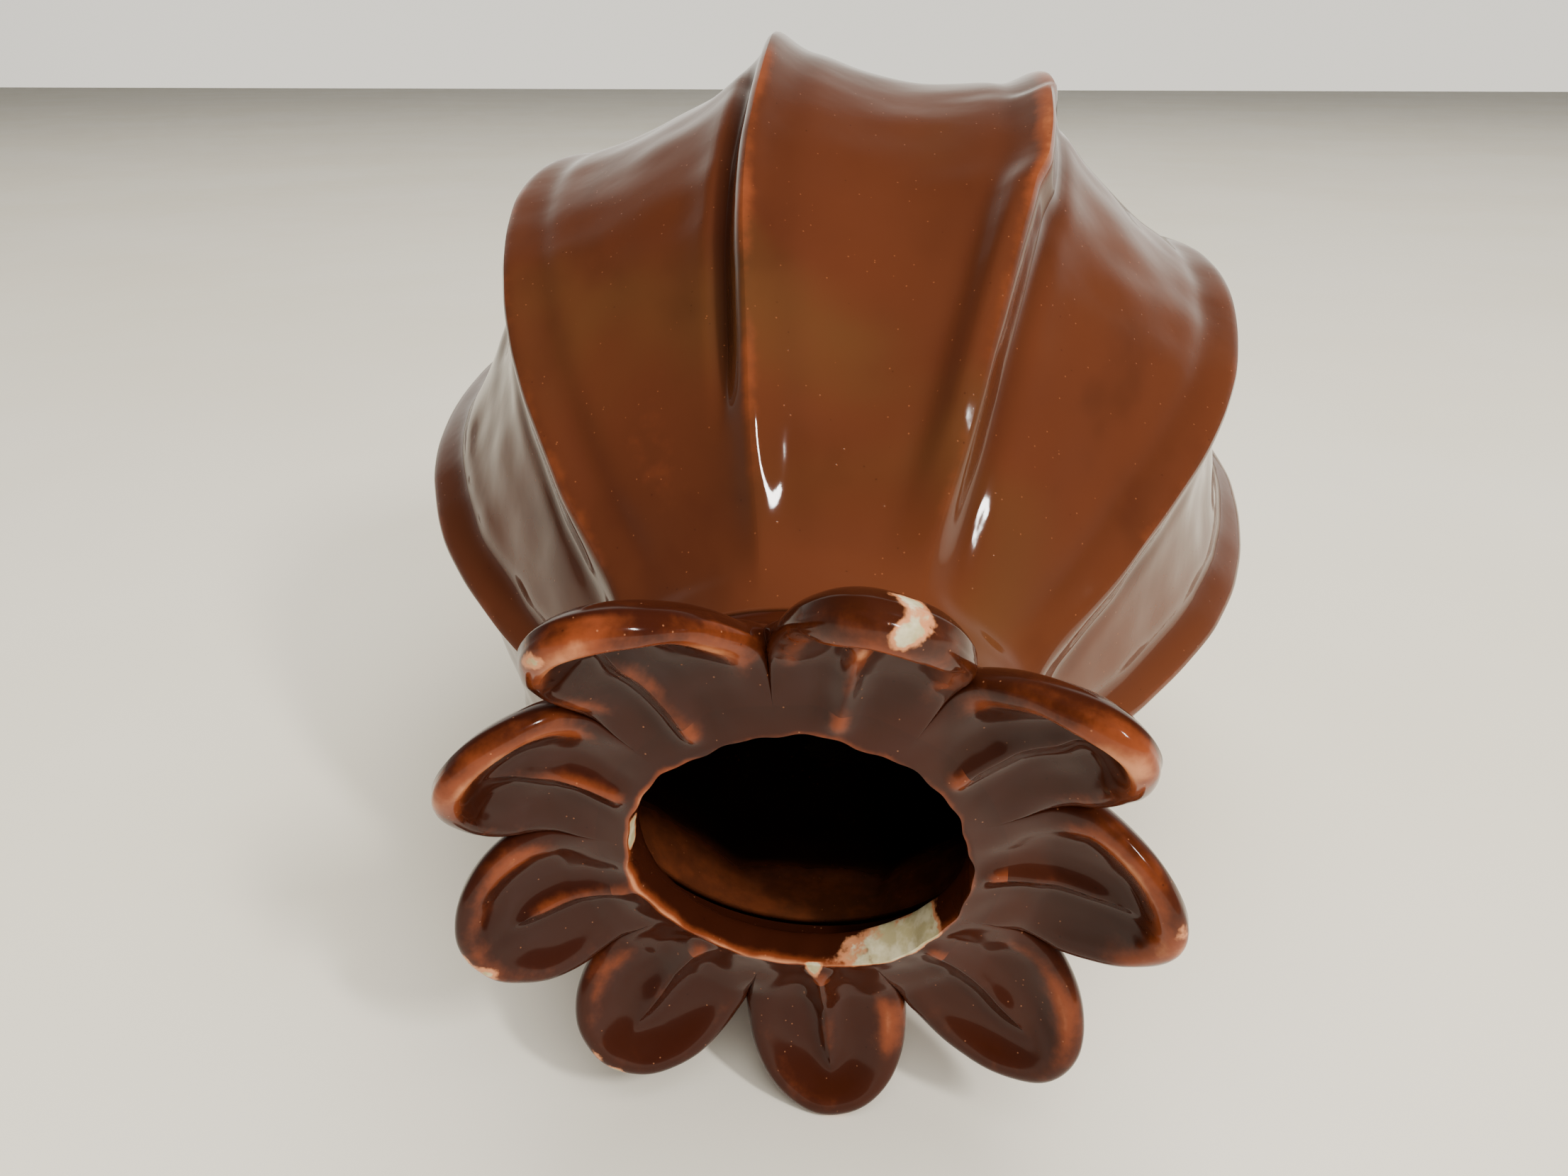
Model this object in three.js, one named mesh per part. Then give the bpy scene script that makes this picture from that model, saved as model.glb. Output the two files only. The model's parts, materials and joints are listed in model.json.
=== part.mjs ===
// A glazed ceramic vase in the form of a poppy seed pod, lying on its side with its mouth tipped down.
// Ten hollow panels (gores) meet edge to edge along the ribs of the pod and stand on a flat base slab.
// A collar around the mouth carries a crown of nine thick petals.
// Every piece is made upright, foot down, around +Z. The finished vase is then laid down.
// In the upright vase, +Y is the side that ends up on top. Angles run clockwise from it, as seen from
// the mouth. Units are millimetres.
import * as THREE from "three";

// Driving dimensions
const LEAN = 12.84; // degrees that the mouth points below the horizontal when the vase lies down
const WALL = 5; // thickness of the clay wall
const GAP = 0.3; // clearance between two pieces

const FOOT_R = 50;
const FOOT_THICK = 6;
const BELLY_R = 93.6; // to the crest of a rib
const NECK_R = 40;
const NECK_Z = 192;
const MOUTH_R = 27.7;
const MOUTH_Z = 206.4;
const TIP_Z = 220; // the front of the crown, and so the height of the upright vase
const ROOT_R = 33; // where the petals are joined to the collar
const PETAL_THICK = 8;
const FOLD_Z = 205.2; // height of the folds between the petals
const ROLL = 1.5; // how much thicker a petal is at its rolled rim

// The crest of each rib, in degrees. They were spaced by eye, so they are not quite even.
const RIBS = [-10, 25, 61, 93, 126, 160, 200, 240, 278, 314];

// Height above the foot's top and radius of a rib's crest, joined by a smooth curve.
const CREST = [
  [0, FOOT_R],
  [5, 57],
  [18, 71],
  [42, 87.5],
  [70, BELLY_R],
  [101, 90],
  [130, 79],
  [155, 61.5],
  [171, 46],
  [180, NECK_R + 1.5],
  [NECK_Z - FOOT_THICK, NECK_R],
];
const VALLEY = 0.095; // how far the middle of a panel lies inside the crests, as a share of the radius

// Each petal was pulled by hand: the angle and radius of its tip, then those of the notch after it.
const PETALS = [
  [11, 61.5, 32, 46],
  [50, 61.5, 71, 46.5],
  [92, 59.5, 114, 46],
  [133, 61.5, 155, 44],
  [174, 59.5, 194, 43.5],
  [213, 58.5, 232, 47],
  [252, 57.5, 273, 45.5],
  [294, 57.5, 312, 46.5],
  [330, 62.5, 354, 42],
];

const glaze = { color: 0x6b2f12, roughness: 0.15, metalness: 0 };
const darkGlaze = { color: 0x4a2012, roughness: 0.15, metalness: 0 };
const bareClay = { color: 0xcdbb98, roughness: 0.85, metalness: 0 };

const { degToRad, radToDeg, lerp, clamp, smoothstep } = THREE.MathUtils;

function polar(degrees, radius, z) {
  const angle = degToRad(degrees);
  return new THREE.Vector3(radius * Math.sin(angle), radius * Math.cos(angle), z);
}

// Joins closed rows of points into a skin. Solid ends are capped. A ring's last row joins its first.
function loft(rows, ring = false) {
  const n = rows[0].length;
  const index = [];
  const bands = ring ? rows.length : rows.length - 1;
  for (let row = 0; row < bands; row += 1) {
    const here = row * n;
    const next = ((row + 1) % rows.length) * n;
    for (let i = 0; i < n; i += 1) {
      const j = (i + 1) % n;
      index.push(here + i, here + j, next + j);
      index.push(here + i, next + j, next + i);
    }
  }
  const last = (rows.length - 1) * n;
  for (let i = 0; !ring && i < n / 2 - 1; i += 1) {
    const j = n - 1 - i;
    index.push(i, j, i + 1);
    index.push(i + 1, j, j - 1);
    index.push(last + i, last + i + 1, last + j);
    index.push(last + i + 1, last + j - 1, last + j);
  }
  return new THREE.BufferGeometry().setFromPoints(rows.flat()).setIndex(index);
}

// Turns the skin's faces outward if they point inward.
function faceOutward(geometry) {
  const index = geometry.getIndex();
  const at = geometry.getAttribute("position");
  const corners = [new THREE.Vector3(), new THREE.Vector3(), new THREE.Vector3()];
  let volume = 0;
  for (let i = 0; i < index.count; i += 3) {
    corners.forEach((corner, k) => corner.fromBufferAttribute(at, index.getX(i + k)));
    volume += corners[0].dot(corners[1].cross(corners[2]));
  }
  for (let i = 0; volume < 0 && i < index.count; i += 3) {
    const swap = index.getX(i + 1);
    index.setX(i + 1, index.getX(i + 2));
    index.setX(i + 2, swap);
  }
}

const vase = new THREE.Group();
vase.name = "seed_pod_vase";

function add(name, geometry, look) {
  faceOutward(geometry);
  geometry.computeVertexNormals();
  const mesh = new THREE.Mesh(geometry, new THREE.MeshStandardMaterial(look));
  mesh.name = name;
  vase.add(mesh);
}

const numbered = (name, i) => `${name}_${String(i + 1).padStart(2, "0")}`;

// Base slab: a flat disc of bare clay with a small bevel at the foot.
function foot() {
  const steps = 40;
  const circle = (radius, z) =>
    Array.from({ length: steps }, (_, i) => polar((360 * i) / steps, radius, z));
  return loft([
    circle(FOOT_R - 1.5, 0),
    circle(FOOT_R, 1.5),
    circle(FOOT_R, FOOT_THICK - GAP),
  ]);
}

// Pod panel between two rib crests. Its outside dips between the crests and its inside runs parallel.
const crestCurve = new THREE.SplineCurve(CREST.map(([z, r]) => new THREE.Vector2(z, r)));

function gore(from, to) {
  const rowCount = 15;
  const steps = 6;
  const rows = [];
  for (let row = 0; row <= rowCount; row += 1) {
    const up = row / rowCount;
    const at = crestCurve.getPointAt(up);
    const along = crestCurve.getTangentAt(up);
    const level = row === 0 || row === rowCount; // the end faces are cut flat
    const dip = VALLEY * smoothstep(up, -0.15, 0.2) * lerp(1, 0.5, smoothstep(up, 0.75, 1));
    const outside = [];
    const inside = [];
    for (let i = 0; i <= steps; i += 1) {
      const across = i / steps;
      const radius = at.y * (1 - dip * Math.sin(Math.PI * across) ** 0.85);
      const inner = radius - (level ? WALL : WALL * along.x);
      const innerZ = level ? at.x : clamp(at.x + WALL * along.y, 0.6, NECK_Z - FOOT_THICK - 0.6);
      const side = (GAP / 2) * (1 - 2 * across);
      const angle = lerp(from, to, across);
      outside.push(polar(angle + radToDeg(side / radius), radius, FOOT_THICK + at.x));
      inside.push(polar(angle + radToDeg(side / inner), inner, FOOT_THICK + innerZ));
    }
    rows.push([...outside, ...inside.reverse()]);
  }
  return loft(rows);
}

// Collar: a ring from the pod's neck up to the cut edge of the mouth. The petals sit on its shoulder.
function collar() {
  const steps = 54;
  const shoulder = FOLD_Z - ROLL - PETAL_THICK - GAP;
  const outline = [
    [MOUTH_R, MOUTH_Z - 1.2],
    [MOUTH_R + 1, MOUTH_Z],
    [ROOT_R, MOUTH_Z - 0.6],
    [ROOT_R, shoulder],
    [NECK_R, shoulder],
    [NECK_R, NECK_Z + GAP],
    [NECK_R - WALL, NECK_Z + GAP],
    [MOUTH_R + 1.8, shoulder + 2],
  ];
  const rows = Array.from({ length: steps }, (_, i) =>
    outline.map(([radius, z]) => polar((360 * i) / steps, radius, z)),
  );
  return loft(rows, true);
}

// Petal: a thick tongue with a rounded tip. Its face is dished on both sides of a low midrib, and its
// rim rolls forward towards the tip.
function petal([tipAngle, tipR], [angleBefore, notchBefore], [angleAfter, notchAfter]) {
  const rowCount = 10;
  const across = [-1, -0.8, -0.5, -0.2, 0, 0.2, 0.5, 0.8, 1];
  const rootR = ROOT_R + GAP;
  const rows = [];
  for (let row = 0; row <= rowCount; row += 1) {
    const out = 0.985 * Math.sin((Math.PI / 2) * (row / rowCount));
    const radius = lerp(rootR, tipR, out);
    const rimZ = lerp(FOLD_Z, TIP_Z, clamp((radius - 45) / (tipR - 45), 0, 1) ** 0.9);
    const dishZ = lerp(FOLD_Z - 0.4, TIP_Z - 4, smoothstep(out, 0.2, 1) ** 1.3);
    const rib = 2 * (1 - smoothstep(out, 0.3, 0.75));
    const tip = smoothstep(out, 0.8, 0.985);
    const face = [];
    const back = [];
    for (const v of across) {
      const notchAngle = v < 0 ? angleBefore : angleAfter;
      const notchR = v < 0 ? notchBefore : notchAfter;
      const past = clamp((radius - notchR) / (tipR - notchR), 0, 1);
      const taper = past > 0 ? (1 - past ** 1.6) ** 0.5 * (notchR / radius) : 1;
      const half = Math.abs(notchAngle - tipAngle) * taper - radToDeg(GAP / 2 / radius);
      const roll = lerp(Math.abs(v) ** 2.5, 1, tip);
      const angle = tipAngle + half * v;
      const bump = rib * Math.exp(-((v / 0.25) ** 2));
      face.push(polar(angle, radius, lerp(dishZ, rimZ, roll) + bump));
      back.push(polar(angle, radius, lerp(dishZ, rimZ - ROLL, roll) - PETAL_THICK));
    }
    rows.push([...face, ...back.reverse()]);
  }
  return loft(rows);
}

add("foot_slab", foot(), bareClay);
RIBS.forEach((from, i) => {
  const to = RIBS[i + 1] ?? RIBS[0] + 360;
  add(numbered("pod_panel", i), gore(from, to), glaze);
});
add("mouth_collar", collar(), darkGlaze);
PETALS.forEach((own, i) => {
  const [, , angle, radius] = PETALS[i - 1] ?? PETALS.at(-1);
  const before = [i === 0 ? angle - 360 : angle, radius];
  add(numbered("petal", i), petal(own, before, own.slice(2)), darkGlaze);
});

// Lay the vase down, set it on the floor and centre it on the origin.
const layDown = new THREE.Matrix4().makeRotationX(degToRad(90 + LEAN));
vase.children.forEach((mesh) => mesh.geometry.applyMatrix4(layDown));
const box = new THREE.Box3().setFromObject(vase);
const middle = box.getCenter(new THREE.Vector3());
vase.children.forEach((mesh) => mesh.geometry.translate(-middle.x, -middle.y, -box.min.z));

export default vase;
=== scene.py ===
import json
import math

import bpy
import numpy as np
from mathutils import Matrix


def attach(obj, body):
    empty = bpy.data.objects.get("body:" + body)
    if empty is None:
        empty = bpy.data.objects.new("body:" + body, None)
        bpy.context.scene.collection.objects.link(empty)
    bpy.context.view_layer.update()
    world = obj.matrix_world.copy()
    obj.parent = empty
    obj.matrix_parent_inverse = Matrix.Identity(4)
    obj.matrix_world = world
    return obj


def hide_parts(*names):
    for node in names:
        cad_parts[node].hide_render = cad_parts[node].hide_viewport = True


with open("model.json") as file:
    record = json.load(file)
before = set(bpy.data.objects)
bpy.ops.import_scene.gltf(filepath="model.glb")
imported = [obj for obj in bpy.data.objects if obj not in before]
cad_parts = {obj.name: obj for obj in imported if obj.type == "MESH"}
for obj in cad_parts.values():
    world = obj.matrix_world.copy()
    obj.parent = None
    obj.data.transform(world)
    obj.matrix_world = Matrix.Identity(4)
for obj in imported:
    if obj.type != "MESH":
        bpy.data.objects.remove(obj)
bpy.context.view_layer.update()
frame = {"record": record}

# The vase is worked out upright in millimetres: height from the foot, radius from the axis, and an angle
# in degrees that runs clockwise from the side that ends up on top, as seen from the mouth. place() then
# lays it on its side, in metres, in the frame of the CAD part.

MM = 0.001
LEAN = math.radians(12.84)  # how far the mouth points below the horizontal
FOOT = np.array(frame["record"]["mounts"][0]["pos_m"])  # the middle of the foot's flat face
ACROSS = np.array([1.0, 0.0, 0.0])
TOPWARD = np.array([0.0, -math.sin(LEAN), math.cos(LEAN)])
MOUTHWARD = np.array([0.0, -math.cos(LEAN), -math.sin(LEAN)])

WALL = 5.0
FOOT_THICK = 6.0
NECK_R = 40.0
NECK_Z = 192.0
MOUTH_R = 27.7
CUT_Z = 199.8  # where the cut edge of the mouth ends, inside the collar
ROOT_R = 33.0  # where the front of a petal leaves the collar
BACK_ROOT_R = 43.0  # where its back does

RIBS = [-10, 25, 61, 93, 126, 160, 200, 240, 278, 314]  # angles of the crests
# Height above the foot slab and radius of a rib's crest, joined by a smooth curve.
CREST = [
    (0, 50),
    (5, 57),
    (18, 71),
    (42, 87.5),
    (70, 93.6),
    (101, 90),
    (130, 79),
    (155, 61.5),
    (171, 46),
    (180, 41.5),
    (186, 40),
]
VALLEY = 0.095  # how far the middle of a panel lies inside the crests, as a share of the radius

# Each petal: tip angle, tip radius, angle and radius of the notch after it.
PETALS = [
    (11, 61.5, 32, 46),
    (50, 61.5, 71, 46.5),
    (92, 59.5, 114, 46),
    (133, 61.5, 155, 44),
    (174, 60.4, 194, 43.5),
    (215, 59.5, 232, 47),
    (252, 58.3, 273, 45.5),
    (294, 57.5, 312, 46.5),
    (330, 62.5, 354, 42),
]


def place(angle, radius, z):
    """Points of the upright vase, laid down in the frame of the CAD part, in metres."""
    a = np.radians(angle)
    return FOOT + MM * (
        (radius * np.sin(a))[..., None] * ACROSS
        + (radius * np.cos(a))[..., None] * TOPWARD
        + np.asarray(z)[..., None] * MOUTHWARD
    )


def ramp(x, low, high):
    """A smooth step from 0 at low to 1 at high."""
    t = np.clip((x - low) / (high - low), 0, 1)
    return t * t * (3 - 2 * t)


def bump(x, centre, width):
    """A smooth hill, 1 at its centre."""
    return np.exp(-(((x - centre) / width) ** 2))


def ripple(angle, radius, z, size, seed):
    """Smooth unevenness of about -1 to 1, with features of the given size in mm."""
    rng = np.random.default_rng(seed)
    a = np.radians(angle)
    p = np.stack(np.broadcast_arrays(radius * np.sin(a), radius * np.cos(a), z), -1)
    total = 0
    for _ in range(7):  # waves in random directions
        way = rng.normal(size=3)
        way *= rng.uniform(0.7, 1.4) * 2 * math.pi / size / np.linalg.norm(way)
        total = total + np.sin(p @ way + rng.uniform(0, 2 * math.pi))
    return total / 3.0


# ---------------------------------------------------------------- meshes


class Skin:
    """Vertices and faces of one closed piece, with a value per vertex for each glaze effect: where the
    glaze is thin and where light is painted, where it is missing, and where it has pooled and where shade
    is painted."""

    LAYERS = ("thin", "bare", "pool")

    def __init__(self):
        self.points, self.faces, self.inner = [], [], []
        self.layers = {name: [] for name in self.LAYERS}
        self.count = 0

    def add(self, points, **layers):
        """Takes a grid of points with the values of its layers, and returns the grid of their numbers."""
        shape = points.shape[:-1]
        n = int(np.prod(shape))
        self.points.append(points.reshape(-1, 3))
        for name in self.LAYERS:
            value = np.broadcast_to(layers.get(name, 0.0), shape).reshape(-1)
            self.layers[name].append(value.astype(float))
        ids = np.arange(self.count, self.count + n).reshape(shape)
        self.count += n
        return ids

    def quads(self, ids, hidden=False):
        """Faces over a grid of vertices. Hidden ones lie inside a join and don't shade the surface."""
        a, b, c, d = ids[:-1, :-1], ids[1:, :-1], ids[1:, 1:], ids[:-1, 1:]
        for quad in np.stack([a, b, c, d], -1).reshape(-1, 4).tolist():
            self.face(quad, hidden)

    def face(self, quad, hidden):
        corners = [v for k, v in enumerate(quad) if v != quad[k - 1]]
        if len(set(corners)) >= 3:
            self.faces.append(corners)
            self.inner.append(hidden)

    def build(self, name, material):
        mesh = bpy.data.meshes.new(name)
        points = np.concatenate(self.points)
        mesh.from_pydata(points.tolist(), [], self.faces)
        for layer, parts in self.layers.items():
            data = mesh.attributes.new(layer, "FLOAT", "POINT")
            data.data.foreach_set("value", np.concatenate(parts).astype(np.float32))
        mesh.polygons.foreach_set("use_smooth", [True] * len(mesh.polygons))
        mesh.materials.append(material)
        mesh.update()
        piece = bpy.data.objects.new(name, mesh)
        bpy.context.collection.objects.link(piece)
        return piece


WELD_STEPS = 2e6  # steps per metre of the grid on which vertices of touching pieces are matched
NO_LENGTH = 1e-18  # below this a sum of normals has no direction


def read(items, attribute, width=1, kind=float):
    """One attribute of all the items of a mesh, as an array."""
    values = np.empty(len(items) * width, dtype=kind)
    items.foreach_get(attribute, values)
    return values.reshape(-1, width) if width > 1 else values


def face_out(piece):
    """Turns a closed mesh's faces outward, if they point inward."""
    mesh = piece.data
    mesh.calc_loop_triangles()
    tris = read(mesh.loop_triangles, "vertices", 3, np.int64)
    co = read(mesh.vertices, "co", 3)
    a, b, c = (co[tris[:, k]] for k in range(3))
    if np.einsum("ij,ij->i", a, np.cross(b, c)).sum() < 0:
        mesh.flip_normals()


def share_normals(skins):
    """Gives the skins of touching pieces the same normals along their joins, so that no join shows."""
    keys, normals = [], []
    for piece, hidden in skins:
        mesh = piece.data
        co = read(mesh.vertices, "co", 3)
        own = np.zeros_like(co)
        mesh.calc_loop_triangles()
        tris = read(mesh.loop_triangles, "vertices", 3, np.int64)
        shown = ~np.array(hidden)[read(mesh.loop_triangles, "polygon_index", kind=np.int64)]
        a, b, c = (co[tris[shown, k]] for k in range(3))
        cross = np.cross(b - a, c - a)
        for k in range(3):
            np.add.at(own, tris[shown, k], cross)
        keys.append(np.round(co * WELD_STEPS).astype(np.int64))
        normals.append(own)
    _, group = np.unique(np.concatenate(keys), axis=0, return_inverse=True)
    group = group.reshape(-1)
    total = np.zeros((group.max() + 1, 3))
    np.add.at(total, group, np.concatenate(normals))
    length = np.linalg.norm(total, axis=1, keepdims=True)
    total = np.where(length > NO_LENGTH, total / np.maximum(length, NO_LENGTH), 0.0)
    start = 0
    for (piece, hidden), key in zip(skins, keys):
        mesh = piece.data
        own = total[group[start : start + len(key)]]
        start += len(key)
        sizes = read(mesh.polygons, "loop_total", kind=np.int64)
        which = np.repeat(np.arange(len(sizes)), sizes)
        inside = np.array(hidden)[which]
        corner = own[read(mesh.loops, "vertex_index", kind=np.int64)]
        corner[inside] = read(mesh.polygons, "normal", 3)[which[inside]]
        mesh.normals_split_custom_set(corner.tolist())


# ---------------------------------------------------------------- pod


def crest_curve(count):
    """Heights, radii and tangents at even steps along the rib crest's curve."""
    pts = np.array(CREST, dtype=float)
    n = len(pts)
    t = np.linspace(0, n - 1, 4000)  # fine enough to measure the curve's length
    i = np.minimum(t.astype(int), n - 2)
    w = (t - i)[:, None]
    p0, p1, p2, p3 = pts[np.maximum(i - 1, 0)], pts[i], pts[i + 1], pts[np.minimum(i + 2, n - 1)]
    v0, v1 = (p2 - p0) / 2, (p3 - p1) / 2
    curve = (2 * p1 - 2 * p2 + v0 + v1) * w**3 + (-3 * p1 + 3 * p2 - 2 * v0 - v1) * w**2 + v0 * w + p1
    step = np.linalg.norm(np.diff(curve, axis=0), axis=1)
    arc = np.concatenate([[0], np.cumsum(step)])
    at = np.linspace(0, arc[-1], count)
    z, r = np.interp(at, arc, curve[:, 0]), np.interp(at, arc, curve[:, 1])
    way = np.stack([np.gradient(z, at), np.gradient(r, at)], -1)
    way /= np.linalg.norm(way, axis=1, keepdims=True)
    return at / arc[-1], z + FOOT_THICK, r, way[:, 0], way[:, 1]


ROWS = 190
UP, CREST_Z, CREST_R, WAY_Z, WAY_R = crest_curve(ROWS)

# How flat each panel is in the middle. Higher is flatter.
PANEL_BASIN = [2.0, 2.8, 3.0, 2.8, 2.6, 2.4, 2.6, 2.8, 3.0, 2.8]
# How each rib departs from a plain crest: bead height, groove on its left and groove on its right, in mm,
# then how far the glaze has thinned along it.
RIB_DETAIL = [
    (1.1, 3.6, 0.6, 0.42),
    (1.6, 0.9, 1.5, 0.80),
    (0.8, 0.8, 1.0, 0.30),
    (0.7, 1.2, 0.8, 0.25),
    (0.8, 0.9, 0.9, 0.25),
    (-0.2, 0.9, 0.6, 0.20),
    (-0.5, 0.7, 0.9, 0.20),
    (0.8, 1.0, 0.8, 0.25),
    (0.8, 0.8, 1.3, 0.30),
    (0.9, 1.2, 0.9, 0.35),
]
PINCHED = 1  # a pinch has pushed this rib aside twice, and pressed a flat shoulder before it
PATCHED = 9  # this panel has a lighter patch in its middle
COLUMNS = 47
BEAD_WIDTH = 2.4
WEAR_WIDTH = 1.7
GROOVE = (6.0, 3.0)  # distance from the crest, and width
CLOSE_GROOVE = (5.2, 2.3)  # the groove before rib 0 lies closer to it
CREASE = 0.07  # how softly the two halves of a panel meet, as a share of half its width
POD_SPAN = 250  # height of the pod in its unevenness


def rib_angle(i, up):
    """Angle of a rib's crest at each height. It sways, because it was shaped by hand."""
    rng = np.random.default_rng(40 + i)
    a, b, p, q = rng.uniform(0.3, 0.8), rng.uniform(0.15, 0.4), *rng.uniform(0, 6.28, 2)
    quiet = ramp(up, 0, 0.15) * (1 - ramp(up, 0.85, 1))
    sway = a * np.sin(5 * up + p) + b * np.sin(17 * up + q)
    if i == PINCHED:
        sway = sway + 0.9 * (1 - ramp(up, 0.40, 0.43)) - 0.8 * ramp(up, 0.55, 0.60)
    return RIBS[i] + sway * quiet


def rib_wear(i, up):
    """Share of a rib's thinned glaze at each height. It comes and goes along the crest."""
    broken = 0.75 + 0.35 * ripple(RIBS[i], 80.0, up * POD_SPAN, 45, 9 + i)
    if i == PINCHED:
        return broken * (1 - 0.7 * ramp(up, 0.55, 0.66))
    return broken


def panel_columns():
    """Shares of a panel's width from rib to rib, closer together near the ribs."""
    near = 0.5 * (1 - np.cos(np.linspace(0, math.pi, COLUMNS)))
    even = np.linspace(0, 1, COLUMNS)
    return 0.45 * near + 0.55 * even


def panel_outside(i):
    """Angles, radii without and with beads and grooves, and glaze layers of a panel's outside."""
    j = (i + 1) % len(RIBS)
    up = UP[:, None]
    q = panel_columns()[None, :]
    start = rib_angle(i, UP)[:, None]
    stop = rib_angle(j, UP)[:, None] + (360 if j == 0 else 0)
    angle = start + (stop - start) * q
    crest = CREST_R[:, None]
    width = crest * np.radians(stop - start)
    left, right = q * width, (1 - q) * width

    # The dip between the two ribs, with its deepest line a little off the middle.
    rng = np.random.default_rng(70 + i)
    lean = q ** rng.uniform(0.88, 1.12)
    d = 2 * np.minimum(lean, 1 - lean)
    soft = (np.sqrt(d * d + CREASE**2) - CREASE) / (math.sqrt(1 + CREASE**2) - CREASE)
    dip = VALLEY * rng.uniform(0.95, 1.12) * ramp(up, -0.15, 0.2) * (1 - 0.5 * ramp(up, 0.75, 1))
    dip = dip * (1 - ramp(up, 0.93, 1.0))
    basin = 1 - (1 - soft) ** PANEL_BASIN[i]
    bead_right = bump(right, 0, BEAD_WIDTH)
    rise = 0
    if j == PINCHED:  # as wide as a fingertip's press
        shoulder = ramp(up, 0.52, 0.66) * (1 - ramp(up, 0.82, 0.9))
        flat = 1 / (1 + (right / 4.4) ** 6)
        basin = basin * (1 - shoulder * flat)
        bead_right = bead_right * (1 - shoulder) + flat * shoulder
        rise = 0.09 * right * shoulder * flat
    plain = crest * (1 - dip * basin)

    # Beads on the ribs, and a groove beside each one.
    live = ramp(up, 0.02, 0.18) * (1 - ramp(up, 0.86, 0.97))
    bead_i, _, groove_right, worn_i = RIB_DETAIL[i]
    bead_j, groove_left, _, worn_j = RIB_DETAIL[j]
    radius = plain + rise + live * (bead_i * bump(left, 0, BEAD_WIDTH) + bead_j * bead_right)
    reach = ramp(up, 0.30, 0.42) * (1 - ramp(up, 0.74, 0.86)) if j == 0 else live
    pool_left = groove_left * bump(right, *(CLOSE_GROOVE if j == 0 else GROOVE)) * reach
    pool_right = groove_right * bump(left, *GROOVE) * live
    radius = radius - pool_left - pool_right

    # Unevenness left by the hands. The panels on the left are a little wavier.
    edge_free = np.sin(np.pi * q) ** 0.5
    wave = ripple(angle, crest, up * POD_SPAN, 60, 5) * (0.85 if i in (7, 8) else 0.5)
    wave = wave + 0.14 * ripple(angle, crest, up * POD_SPAN, 19, 6)
    radius = radius + wave * live * (0.35 + 0.65 * edge_free)

    streak = worn_i * rib_wear(i, up) * bump(left, 0, WEAR_WIDTH)
    streak = streak + worn_j * rib_wear(j, up) * bump(right, 0, WEAR_WIDTH)
    thin = np.clip(streak * live, 0, 1)
    if j == PINCHED:
        thin = thin + 0.35 * bump(right, 1.6, 1.2) * ramp(up, 0.2, 0.3) * (1 - ramp(up, 0.5, 0.56))
    if i == PATCHED:
        mottle = 1 + 0.35 * ripple(angle, crest, up * POD_SPAN, 22, 8)
        thin = thin + 0.20 * bump(q, 0.5, 0.15) * bump(up, 0.82, 0.06) * mottle
    pool = np.clip(0.26 * (pool_left + pool_right), 0, 1)
    return angle, plain, radius, thin, pool


def panel(i):
    angle, plain, radius, thin, pool = panel_outside(i)
    z = np.broadcast_to(CREST_Z[:, None], radius.shape)
    skin = Skin()
    outside = skin.add(place(angle, radius, z), thin=thin, pool=pool)

    level = np.zeros((ROWS, 1), bool)  # the end faces are cut flat
    level[[0, -1]] = True
    inner_r = plain - np.where(level, WALL, WALL * WAY_Z[:, None])
    inner_z = z + np.where(level, 0, WALL * WAY_R[:, None])
    inner_z = np.where(level, z, np.clip(inner_z, FOOT_THICK + 0.4, NECK_Z - 0.4))
    # Painted light and shade on the inner wall: lighter near the mouth, where light comes in, and painted
    # darker deeper in, where shade falls.
    lit_near_mouth = ramp(z, 148, 180)
    spot = 0.9 * bump(angle, 262, 6) * bump(z, 182, 4.5)  # bare clay just below the mouth
    spot = spot * (1 + 0.4 * ripple(angle, CREST_R[:, None], z, 9, 77))
    inside = skin.add(
        place(angle, inner_r, inner_z),
        thin=0.25 * lit_near_mouth,
        bare=spot,
        pool=1 - 0.7 * lit_near_mouth,
    )
    skin.quads(outside)
    skin.quads(inside[:, ::-1])
    skin.quads(np.stack([inside[:, 0], outside[:, 0]], 1), hidden=True)
    skin.quads(np.stack([outside[:, -1], inside[:, -1]], 1), hidden=True)
    skin.quads(np.stack([outside[0], inside[0]], 0), hidden=True)
    skin.quads(np.stack([inside[-1], outside[-1]], 0), hidden=True)
    return skin


# ---------------------------------------------------------------- crown

# How each petal was finished: lift of its tip, height of its rolled rim, how far the rim curls back
# towards the mouth, height of its midrib, and a tilt that raises its clockwise side, all in mm, then how
# blunt its outline is.
PETAL_DETAIL = [
    (0.0, 3.6, 2.6, 1.3, 0.2, 2.1),
    (0.0, 3.1, 1.4, 1.2, -0.5, 1.6),
    (-0.3, 2.6, 0.6, 1.4, -0.9, 1.5),
    (-0.6, 2.0, 0.3, 1.1, -0.6, 2.1),
    (-0.4, 1.6, 0.0, 1.4, 0.3, 2.5),
    (-0.5, 1.5, 0.2, 1.3, -0.2, 2.7),
    (-0.3, 2.2, 0.4, 1.5, 0.5, 2.4),
    (-0.2, 2.8, 1.0, 1.3, 0.9, 1.8),
    (0.0, 3.3, 1.5, 1.5, 0.8, 2.1),
]
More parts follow.
